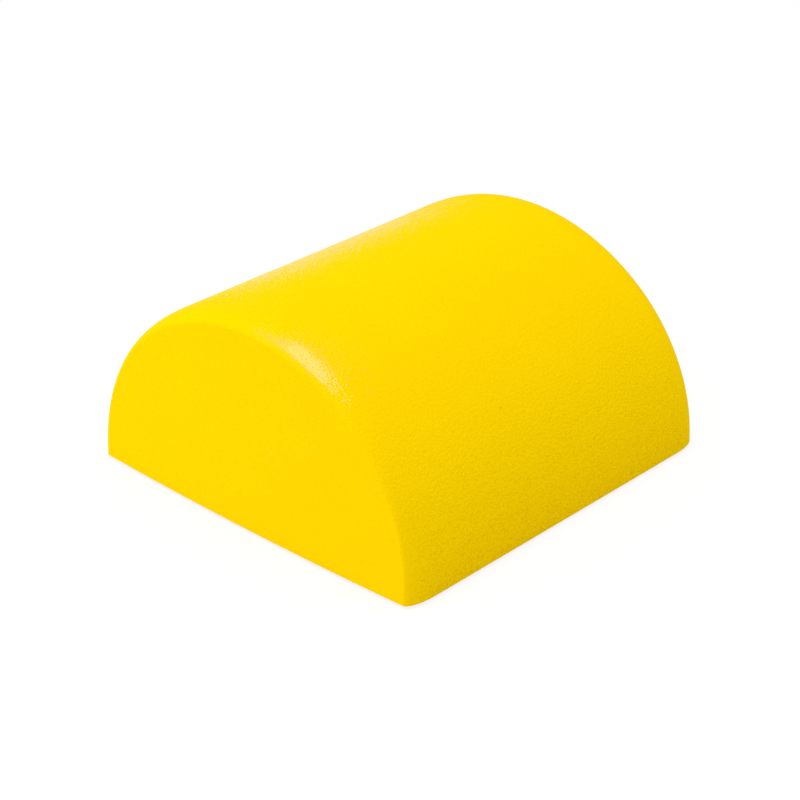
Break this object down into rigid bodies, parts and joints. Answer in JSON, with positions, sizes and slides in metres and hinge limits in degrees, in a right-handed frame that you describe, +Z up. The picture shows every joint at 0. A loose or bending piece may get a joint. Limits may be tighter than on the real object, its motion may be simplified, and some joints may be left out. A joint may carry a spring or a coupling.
{
  "type": "parking wheel stop",
  "caption": "Short half-round yellow parking wheel stop: a moulded plastic shell filled with reinforced concrete, on rubber feet, with blind dowel sockets in its base.",
  "frame": {"origin": "on the ground under the middle of the block, at the level of the underside of the feet", "axes": "+X along the barrel, +Y across it away from the side seen in the picture, +Z up"},
  "size_m": [0.3, 0.3, 0.15],
  "materials": {
    "shell_plastic": "fine grained, satin",
    "concrete": "cast, rough",
    "bar_steel": "mill scale",
    "zinc_steel": "galvanised",
    "cap_plastic": "moulded",
    "foot_rubber": "matt",
    "plug_nylon": "moulded"
  },
  "bodies": {
    "root": {"outer_shell": "shell_plastic", "concrete_core": "concrete", "bar_lower_front": "bar_steel", "bar_lower_rear": "bar_steel", "bar_upper_front": "bar_steel", "bar_upper_rear": "bar_steel", "stirrup_left": "bar_steel", "stirrup_middle": "bar_steel", "stirrup_right": "bar_steel", "dowel_sleeve_left": "zinc_steel", "dowel_sleeve_right": "zinc_steel", "sleeve_cap_left": "cap_plastic", "sleeve_cap_right": "cap_plastic", "foot_front_left": "foot_rubber", "foot_front_right": "foot_rubber", "foot_rear_left": "foot_rubber", "foot_rear_right": "foot_rubber", "foot_washers": "zinc_steel", "foot_screws": "zinc_steel", "foot_plugs": "plug_nylon"}
  },
  "joints": []
}
